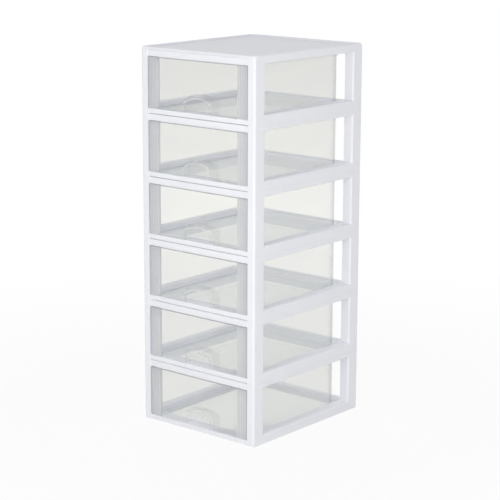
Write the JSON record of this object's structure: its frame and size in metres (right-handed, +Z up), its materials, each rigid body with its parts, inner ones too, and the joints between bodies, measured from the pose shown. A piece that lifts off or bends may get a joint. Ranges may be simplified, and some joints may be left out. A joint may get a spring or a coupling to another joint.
{
  "type": "plastic drawer tower",
  "caption": "Upright drawer tower for craft supplies and parts: open white plastic frames stacked in tiers, each round a clear pull-out drawer with a finger recess, under a tray top.",
  "frame": {"origin": "centre of the footprint on the floor, at the bottom of the lowest side frames", "axes": "+Z up, -Y the side that the drawers pull out of, X across the width"},
  "size_m": [0.306, 0.354, 0.8008],
  "materials": {
    "white_plastic": "satin moulded white plastic",
    "clear_plastic": "clear glossy plastic, slightly milky"
  },
  "bodies": {
    "tower": {"top_cover": "white_plastic", "side_frame_left_1": "white_plastic", "side_frame_left_2": "white_plastic", "side_frame_left_3": "white_plastic", "side_frame_left_4": "white_plastic", "side_frame_left_5": "white_plastic", "side_frame_left_6": "white_plastic", "side_frame_right_1": "white_plastic", "side_frame_right_2": "white_plastic", "side_frame_right_3": "white_plastic", "side_frame_right_4": "white_plastic", "side_frame_right_5": "white_plastic", "side_frame_right_6": "white_plastic", "front_sill_rail_1": "white_plastic", "front_sill_rail_2": "white_plastic", "front_sill_rail_3": "white_plastic", "front_sill_rail_4": "white_plastic", "front_sill_rail_5": "white_plastic", "front_sill_rail_6": "white_plastic", "front_head_rail_1": "white_plastic", "front_head_rail_2": "white_plastic", "front_head_rail_3": "white_plastic", "front_head_rail_4": "white_plastic", "front_head_rail_5": "white_plastic", "front_head_rail_6": "white_plastic", "rear_sill_rail_1": "white_plastic", "rear_sill_rail_2": "white_plastic", "rear_sill_rail_3": "white_plastic", "rear_sill_rail_4": "white_plastic", "rear_sill_rail_5": "white_plastic", "rear_sill_rail_6": "white_plastic", "rear_head_rail_1": "white_plastic", "rear_head_rail_2": "white_plastic", "rear_head_rail_3": "white_plastic", "rear_head_rail_4": "white_plastic", "rear_head_rail_5": "white_plastic", "rear_head_rail_6": "white_plastic", "joint_pins_1": "white_plastic", "joint_pins_2": "white_plastic", "joint_pins_3": "white_plastic", "joint_pins_4": "white_plastic", "joint_pins_5": "white_plastic"},
    "drawer_body_1": {"drawer_1": "clear_plastic"},
    "drawer_body_2": {"drawer_2": "clear_plastic"},
    "drawer_body_3": {"drawer_3": "clear_plastic"},
    "drawer_body_4": {"drawer_4": "clear_plastic"},
    "drawer_body_5": {"drawer_5": "clear_plastic"},
    "drawer_body_6": {"drawer_6": "clear_plastic"}
  },
  "joints": [
    {"name": "drawer_slide_1", "type": "slide", "parent": "tower", "child": "drawer_body_1", "axis": [0, -1, 0], "range_m": [0, 0.3]},
    {"name": "drawer_slide_2", "type": "slide", "parent": "tower", "child": "drawer_body_2", "axis": [0, -1, 0], "range_m": [0, 0.3]},
    {"name": "drawer_slide_3", "type": "slide", "parent": "tower", "child": "drawer_body_3", "axis": [0, -1, 0], "range_m": [0, 0.3]},
    {"name": "drawer_slide_4", "type": "slide", "parent": "tower", "child": "drawer_body_4", "axis": [0, -1, 0], "range_m": [0, 0.3]},
    {"name": "drawer_slide_5", "type": "slide", "parent": "tower", "child": "drawer_body_5", "axis": [0, -1, 0], "range_m": [0, 0.3]},
    {"name": "drawer_slide_6", "type": "slide", "parent": "tower", "child": "drawer_body_6", "axis": [0, -1, 0], "range_m": [0, 0.3]}
  ]
}
